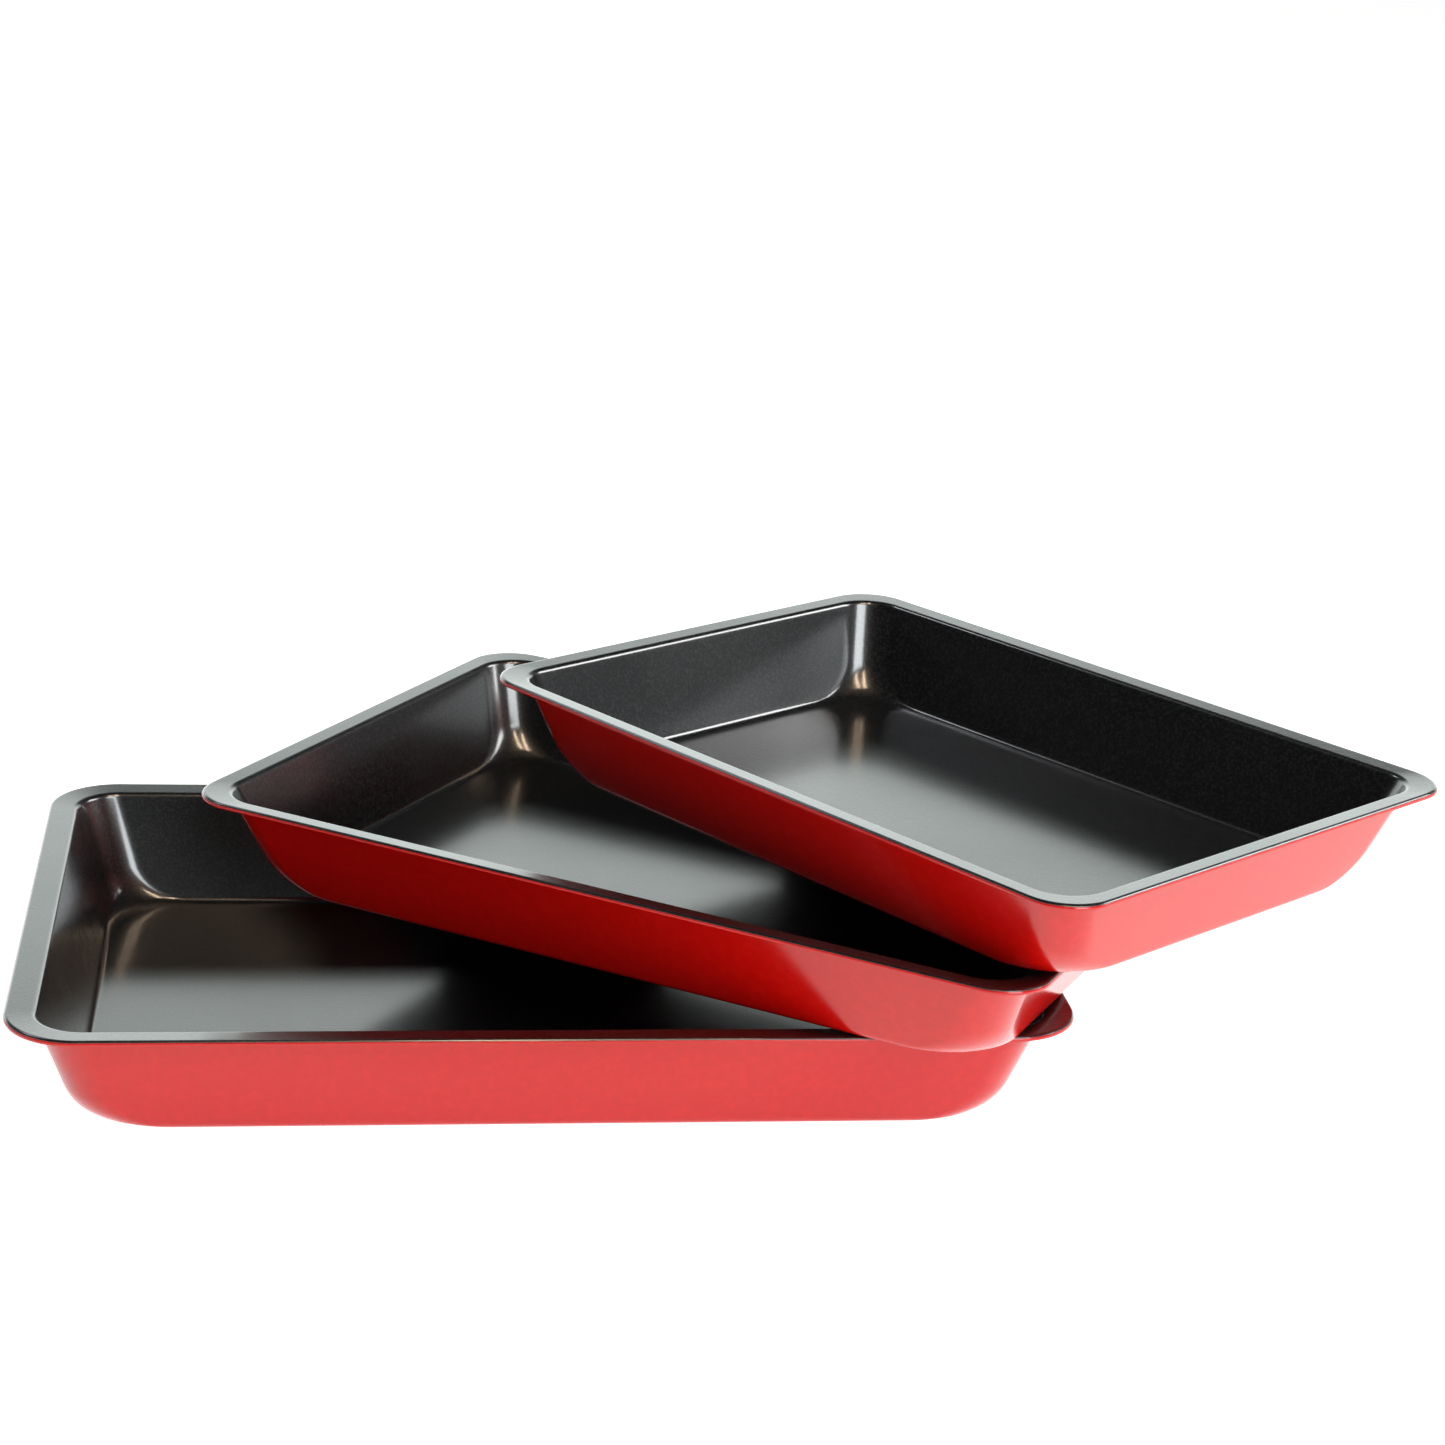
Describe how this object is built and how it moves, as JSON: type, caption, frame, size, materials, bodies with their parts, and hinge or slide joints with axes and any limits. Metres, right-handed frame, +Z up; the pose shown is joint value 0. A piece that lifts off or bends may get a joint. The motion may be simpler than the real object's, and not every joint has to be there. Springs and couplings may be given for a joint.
{
  "type": "developing tray set",
  "caption": "Set of shallow rectangular trays pressed from steel, red lacquer outside and black non-stick inside, fanned out one on another.",
  "frame": {"origin": "centre of the large tray's underside, on the surface it stands on", "axes": "+X along the large tray's length, towards the end the other trays fan out over; +Y across it, away from the viewer of the front; +Z up"},
  "size_m": [0.5427, 0.4126, 0.1306],
  "materials": {
    "red_lacquer": "gloss",
    "black_nonstick": "satin"
  },
  "bodies": {
    "large_tray": {"large_steel": "red_lacquer", "large_nonstick": "black_nonstick"},
    "middle_tray": {"middle_steel": "red_lacquer", "middle_nonstick": "black_nonstick"},
    "small_tray": {"small_steel": "red_lacquer", "small_nonstick": "black_nonstick"}
  },
  "joints": [
    {"name": "middle_tray_lift", "type": "slide", "parent": "large_tray", "child": "middle_tray", "axis": [0, 0, 1], "range_m": [0, 0.12]},
    {"name": "small_tray_lift", "type": "slide", "parent": "middle_tray", "child": "small_tray", "axis": [0, 0, 1], "range_m": [0, 0.12]}
  ]
}
